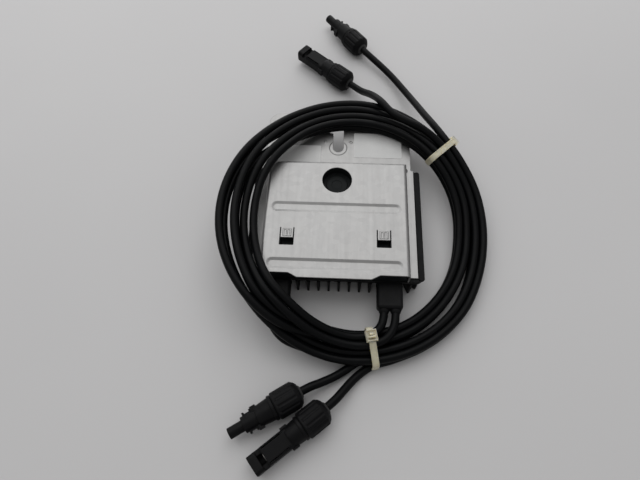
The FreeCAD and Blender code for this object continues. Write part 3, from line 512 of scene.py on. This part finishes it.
def dress(node, width, angle=EDGE_ANGLE):
    """A finished copy of a CAD node, cleaned of flat faces' edges and rounded along real ones."""
    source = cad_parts[node]
    edit = bmesh.new()
    edit.from_mesh(source.data)
    edit.transform(source.matrix_world)
    bmesh.ops.remove_doubles(edit, verts=edit.verts, dist=WELD_DISTANCE * MM)
    bmesh.ops.dissolve_limit(edit, angle_limit=math.radians(FLAT_ANGLE), verts=edit.verts,
                             edges=edit.edges)
    bmesh.ops.triangulate(edit, faces=edit.faces, quad_method="BEAUTY", ngon_method="BEAUTY")
    for edge in edit.edges:
        edge.smooth = len(edge.link_faces) != 2 or edge.calc_face_angle() < math.radians(angle)
    name = node + "_finished"
    soften(new_piece(name, mesh_of(edit, name), slot_of(node), node), width, angle)


def add_block(edit, low, high, taper=0.0):
    """A six-sided block from its low corner to its high corner, its top drawn in by a taper."""
    corners = []
    for z, inset in ((low[2], 0.0), (high[2], taper)):
        corners.append([edit.verts.new((x, y, z)) for x, y in (
            (low[0] + inset, low[1] + inset), (high[0] - inset, low[1] + inset),
            (high[0] - inset, high[1] - inset), (low[0] + inset, high[1] - inset))])
    bottom, top = corners
    edit.faces.new(bottom[::-1])
    lid = edit.faces.new(top)
    for index in range(4):
        edit.faces.new((bottom[index - 1], bottom[index], top[index], top[index - 1]))
    return lid


def add_skin(edit, rows):
    """Faces between neighbouring rows of vertices, closed both ways."""
    for row, following in zip(rows, rows[1:] + rows[:1]):
        for index in range(len(row)):
            edit.faces.new((row[index - 1], row[index], following[index], following[index - 1]))


def add_window_bars():
    """A bar that closes each window's comb of ridges into a grid."""
    for name, x in WINDOW_BARS.items():
        edit = bmesh.new()
        add_block(edit, (x - WINDOW_BAR_HALF, WINDOW_BAR_FRONT, WINDOW_BAR_LOW),
                  (x + WINDOW_BAR_HALF, WINDOW_BAR_FRONT + WINDOW_BAR_DEPTH, WINDOW_BAR_HIGH))
        edit.transform(Matrix.Scale(MM, 4))
        soften(new_piece(name, mesh_of(edit, name), "galvanised_sheet"), WINDOW_BAR_EDGE)


# Coil

def between(places, at):
    """Values at a place of a sorted table, in straight lines between its rows."""
    for before, after in zip(places, places[1:]):
        low, high = sorted((before[0], after[0]))
        if low <= at <= high:
            share = (at - before[0]) / (after[0] - before[0])
            return [a + (b - a) * share for a, b in zip(before[1:], after[1:])]
    raise ValueError(at)


def coil_point(angle, column, layer):
    """A place in the coil, in metres."""
    inner, outer, low = between(COIL_PLACES, angle % 360)
    shares = [0.0, *between(COLUMNS, angle % 360), 1.0]
    first = min(int(column), 2)
    across = shares[first] + (shares[first + 1] - shares[first]) * (column - first)
    radius = inner + CABLE / 2 + (outer - inner - CABLE) * across
    turn = math.radians(angle)
    height = low + CABLE / 2 + layer * LAYER
    return Vector((COIL_X + radius * math.cos(turn), COIL_Y + radius * math.sin(turn),
                   height)) * MM


def coil_points(slots):
    """The turns of a cable in the coil, at even steps of the angle."""
    first, last = slots[0][0], slots[-1][0]
    steps = round(abs(last - first) / COIL_STEP)
    points = []
    for step in range(steps + 1):
        angle = first + (last - first) * step / steps
        points.append(coil_point(angle, *between(slots, angle)))
    return points


# Cable ties

def ring_corner(centre, radius, start, end, count=6):
    """Points on an arc of the strap's path, as radius and height in the coil's section."""
    points = []
    for step in range(count + 1):
        turn = math.radians(start + (end - start) * step / count)
        points.append((centre[0] + radius * math.cos(turn), centre[1] + radius * math.sin(turn)))
    return points


def strap_path(inner, outer, low, inner_high, outer_high):
    """The middle line of the strap round the turns, pulled tight, with rounded corners."""
    half = CABLE / 2
    out = TIE_GAP + TIE_THICKNESS / 2
    bend = half + out
    slant_top = (inner + STRAP_INNER_REACH * half, inner_high - half)
    path = ring_corner((inner + half, low + half), bend, 180, 270)
    path += ring_corner((outer - half, low + half), bend, 270, 360)
    path += ring_corner((outer - half, outer_high - half), bend, 0, STRAP_SLANT)
    path += ring_corner(slant_top, bend, STRAP_SLANT, 90, 3)
    path += ring_corner((inner + half, inner_high - half), bend, 90, 180)
    return path


def even_path(path, spacing):
    """The closed path at nearly even spacing, so that the teeth are all alike."""
    loop = [Vector((r, 0, z)) for r, z in path]
    loop.append(loop[0].copy())
    lengths = [(b - a).length for a, b in zip(loop, loop[1:])]
    total = sum(lengths)
    count = int(total / spacing)
    points = []
    index, passed = 0, 0.0
    for step in range(count):
        wanted = total * step / count
        while passed + lengths[index] < wanted:
            passed += lengths[index]
            index += 1
        share = (wanted - passed) / lengths[index]
        points.append(loop[index].lerp(loop[index + 1], share))
    return points


def strap_section(tooth):
    """The strap's section at a depth of its teeth: places across it and out from its middle."""
    half, thick = TIE_WIDTH / 2, TIE_THICKNESS / 2
    groove = thick - STRAP_GROOVE_DEPTH - tooth
    return [(-half, -thick + STRAP_CHAMFER), (-half + STRAP_CHAMFER, -thick),
            (half - STRAP_CHAMFER, -thick), (half, -thick + STRAP_CHAMFER),
            (half, thick - STRAP_CHAMFER), (half - STRAP_CHAMFER, thick),
            (half - STRAP_RIM, thick), (half - STRAP_GROOVE, groove),
            (-half + STRAP_GROOVE, groove), (-half + STRAP_RIM, thick),
            (-half + STRAP_CHAMFER, thick), (-half, thick - STRAP_CHAMFER)]


def strap(path):
    """The strap as a closed band with a raised rim at both edges and fine teeth between."""
    edit = bmesh.new()
    points = even_path(path, TOOTH_STEP)
    rows = []
    for index, point in enumerate(points):
        ahead = (points[(index + 1) % len(points)] - points[index - 1]).normalized()
        out = Vector((ahead.z, 0, -ahead.x))
        section = strap_section(TOOTH_DEPTH if index % 2 else 0.0)
        rows.append([edit.verts.new(point + Vector((0, across, 0)) + out * offset)
                     for across, offset in section])
    add_skin(edit, rows)
    return edit


def tie_head(on_top, inner, outer, low, high):
    """The head with its strap window, its sprung pawl and the cut end of the strap."""
    edit = bmesh.new()
    half = HEAD_SIDE / 2
    lid = add_block(edit, (-half, -half, 0), (half, half, HEAD_HEIGHT), HEAD_TAPER)
    bmesh.ops.inset_region(edit, faces=[lid], thickness=HEAD_WALL, depth=0.0)
    bmesh.ops.translate(edit, verts=lid.verts, vec=(0, 0, -HEAD_WINDOW_DEPTH))
    add_block(edit, *HEAD_PAWL)
    add_block(edit, *HEAD_CUT_END)
    bmesh.ops.recalc_face_normals(edit, faces=edit.faces)
    seat = TIE_GAP + HEAD_SEAT
    if on_top:
        edit.transform(Matrix.Translation((inner + HEAD_INSET + half, 0, high + seat)))
    else:
        edit.transform(Matrix.Translation((outer + seat, 0, (low + high) / 2))
                       @ Matrix.Rotation(math.pi / 2, 4, "Y"))
    return edit


def tie_placement(angle, middle, skew):
    """From the coil's section to its place, tilted with the coil's slope and set a little askew."""
    before = between(COIL_PLACES, (angle - TIE_SLOPE_REACH) % 360)[2]
    after = between(COIL_PLACES, (angle + TIE_SLOPE_REACH) % 360)[2]
    inner, outer = between(COIL_PLACES, angle)[:2]
    way = math.radians(2 * TIE_SLOPE_REACH) * (inner + outer) / 2
    slope = Matrix.Rotation(math.atan((after - before) / way), 4, "X")
    tilt = Matrix.Translation((0, 0, middle)) @ slope @ Matrix.Translation((0, 0, -middle))
    place = Matrix.Translation((COIL_X, COIL_Y, 0)) @ Matrix.Rotation(math.radians(angle), 4, "Z")
    centre = Matrix.Translation(((inner + outer) / 2, 0, 0))
    turn = centre @ Matrix.Rotation(math.radians(skew), 4, "Z") @ centre.inverted()
    return Matrix.Scale(MM, 4) @ place @ turn @ tilt


def add_tie(name, angle, thickness, on_top, skew):
    """One cable tie: its toothed strap and its head, joined in one piece."""
    inner, outer, low = between(COIL_PLACES, angle)
    high = low + thickness
    path = strap_path(inner, outer, low, high, low + TIE_OUTER_HEIGHT)
    edit = bmesh.new()
    for part in (strap(path), tie_head(on_top, inner, outer, low, high)):
        shape = mesh_of(part, name + "_part")
        edit.from_mesh(shape)
        bpy.data.meshes.remove(shape)
    edit.transform(tie_placement(angle, low + thickness / 2, skew))
    bmesh.ops.recalc_face_normals(edit, faces=edit.faces)
    piece = new_piece(name + "_finished", mesh_of(edit, name + "_finished"), "tie_nylon", name)
    soften(piece, TIE_EDGE, TIE_EDGE_ANGLE)


# Soft sleeves

def turned(name, profile, slot, matrix):
    """A turned ring from a closed profile of places along the axis and radii."""
    edit = bmesh.new()
    rings = []
    for step in range(TURNED_SIDES):
        turn = 2 * math.pi * step / TURNED_SIDES
        rings.append([edit.verts.new((along, radius * math.cos(turn), radius * math.sin(turn)))
                      for along, radius in profile])
    add_skin(edit, rings)
    bmesh.ops.recalc_face_normals(edit, faces=edit.faces)
    edit.transform(matrix @ Matrix.Scale(MM, 4))
    mesh = mesh_of(edit, name)
    for polygon in mesh.polygons:
        polygon.use_smooth = True
    mesh.set_sharp_from_angle(angle=math.radians(TURNED_SHARP_ANGLE))
    new_piece(name, mesh, slot)


def add_cable_lips():
    """Soft tapered sleeves where the cables leave the glands and enter the nuts."""
    for name, cable in CABLES.items():
        place = Matrix.Translation(Vector((cable["bore"], GLAND_FRONT, CABLE_LEVEL)) * MM)
        spin = Matrix.Rotation(-math.pi / 2, 4, "Z")
        turned(name + "_gland_lip", GLAND_LIP, "gland_plastic", place @ spin)
        x, y, heading = cable["end"]
        place = Matrix.Translation(Vector((x, y, CONNECTOR_LEVEL)) * MM)
        spin = Matrix.Rotation(math.radians(heading) + math.pi, 4, "Z")
        turned(name + "_nut_lip", NUT_LIP, "seal_rubber", place @ spin)


# Cables

def connector_point(end, along):
    """A place on a connector's axis, in metres."""
    x, y, heading = end
    turn = math.radians(heading)
    return Vector((x + along * math.cos(turn), y + along * math.sin(turn),
                   CONNECTOR_LEVEL)) * MM


def cable_points(cable):
    """A cable's whole route, from its bore in the gland to its connector, in metres."""
    points = [Vector((cable["bore"], GLAND_FRONT, CABLE_LEVEL)) * MM]
    points += [Vector(point) * MM for point in cable["lead"]]
    points += coil_points(cable["slots"])
    points += [Vector(point) * MM for point in cable["tail"]]
    points += [connector_point(cable["end"], -CONNECTOR_REACH),
               connector_point(cable["end"], CONNECTOR_REACH)]
    return points


def cable_curve(name, points):
    """One cable as one NURBS curve with a round section.

    Its bevel is 1 metre deep, so each point's radius is the cable's own radius in metres."""
    curve = bpy.data.curves.new(name, "CURVE")
    curve.dimensions = "3D"
    curve.bevel_depth = 1.0
    curve.bevel_resolution = 5
    curve.resolution_u = 6
    curve.use_fill_caps = True
    spline = curve.splines.new("NURBS")
    spline.points.add(len(points) - 1)
    for target, place in zip(spline.points, points):
        target.co = (*place, 1)
        target.radius = CABLE / 2 * MM
    spline.order_u = 3
    spline.use_endpoint_u = True
    curve_object = bpy.data.objects.new(name, curve)
    bpy.context.scene.collection.objects.link(curve_object)
    return curve_object


def add_cables():
    """The four cables, each one cord from its gland to its connector."""
    for name, cable in CABLES.items():
        connector = name.removesuffix("_cable")
        carried = [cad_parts[connector + part] for part in CONNECTOR_PARTS]
        carried += [bpy.data.objects[connector + part + "_finished"]
                    for part in ("_housing", "_nut")]
        carried.append(bpy.data.objects[name + "_nut_lip"])
        route = cable_points(cable)
        cord = cable_curve(name, route)
        cord.data.materials.append(MATERIALS["cable_jacket"])
        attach(cord, "root")
        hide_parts(*COIL_NODES)


# Camera, floor and light

def add_camera():
    """The camera at the photo's place, with its lens."""
    data = bpy.data.cameras.new("camera")
    data.lens = CAMERA_LENS
    data.sensor_width = CAMERA_SENSOR
    camera = bpy.data.objects.new("camera", data)
    matrix = Matrix((CAMERA_RIGHT, CAMERA_UP, CAMERA_BACK)).transposed().to_4x4()
    matrix.translation = Vector(CAMERA_PLACE) * MM
    camera.matrix_world = matrix
    bpy.context.scene.collection.objects.link(camera)
    bpy.context.scene.camera = camera


def add_floor():
    """A plain pale floor that reaches past the view."""
    bpy.ops.mesh.primitive_plane_add(size=FLOOR_SIDE, location=(0, 0, 0))
    floor = bpy.context.object
    floor.name = "floor"
    floor.data.materials.append(paper())


def add_area(name, place, target, size, power):
    """A soft area light that points at a target."""
    data = bpy.data.lights.new(name, "AREA")
    data.shape = "RECTANGLE"
    data.size, data.size_y = size
    data.energy = power
    light = bpy.data.objects.new(name, data)
    light.location = place
    light.rotation_euler = (Vector(target) - Vector(place)).to_track_quat("-Z", "Y").to_euler()
    bpy.context.scene.collection.objects.link(light)


def add_light():
    """Soft studio light: a wide panel overhead, a low one behind, and an even white room."""
    for name, values in LIGHTS.items():
        add_area(name, *values)
    world = bpy.data.worlds.new("room")
    world.use_nodes = True
    background = world.node_tree.nodes["Background"]
    background.inputs["Color"].default_value = (1, 1, 1, 1)
    background.inputs["Strength"].default_value = ROOM_LIGHT
    bpy.context.scene.world = world


# The whole scene

add_camera()
MATERIALS = make_materials()
for node_name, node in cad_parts.items():
    node.data.materials.clear()
    node.data.materials.append(MATERIALS[slot_of(node_name)])
for node_name, edge_values in DRESSED.items():
    dress(node_name, *edge_values)
for connector_name in CONNECTORS:
    dress(connector_name + "_nut", CONNECTOR_EDGE)
    dress(connector_name + "_housing", CONNECTOR_EDGE)
for tie_name, tie_values in TIES.items():
    add_tie(tie_name, *tie_values)
add_window_bars()
add_cable_lips()
add_cables()
add_floor()
add_light()
bpy.context.scene.view_settings.view_transform = "Standard"

# The cables' own boxes are worked out again.
for cable_name in CABLES:
    bpy.data.objects[cable_name].data.update_tag()
bpy.context.view_layer.update()
